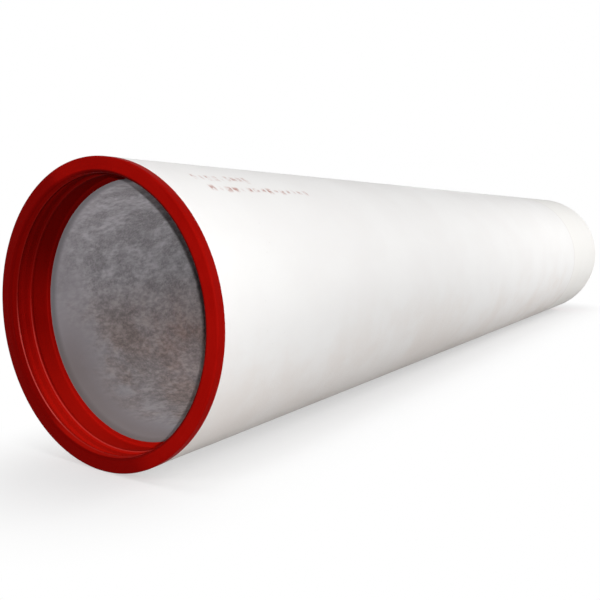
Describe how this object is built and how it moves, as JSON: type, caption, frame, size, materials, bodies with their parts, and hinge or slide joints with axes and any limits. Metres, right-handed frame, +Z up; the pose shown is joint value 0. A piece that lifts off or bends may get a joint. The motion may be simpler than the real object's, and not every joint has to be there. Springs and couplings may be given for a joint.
{
  "type": "jacketed ductile iron pipe",
  "caption": "Long round pipe lying on its side: red painted iron with a push-on socket and a plain spigot, a white concrete jacket flush with the socket, and a grey cement lining.",
  "frame": {"origin": "middle of the pipe's length, on the floor line that it lies on", "axes": "+X along the pipe's axis from the socket to the spigot, +Z up from the floor"},
  "size_m": [6.17, 1.18, 1.18],
  "materials": {
    "red_painted_iron": "satin",
    "white_painted_concrete": "matte",
    "cement_mortar": "matte"
  },
  "bodies": {
    "root": {"iron_pipe": "red_painted_iron", "concrete_jacket": "white_painted_concrete", "cement_lining": "cement_mortar"}
  },
  "joints": []
}
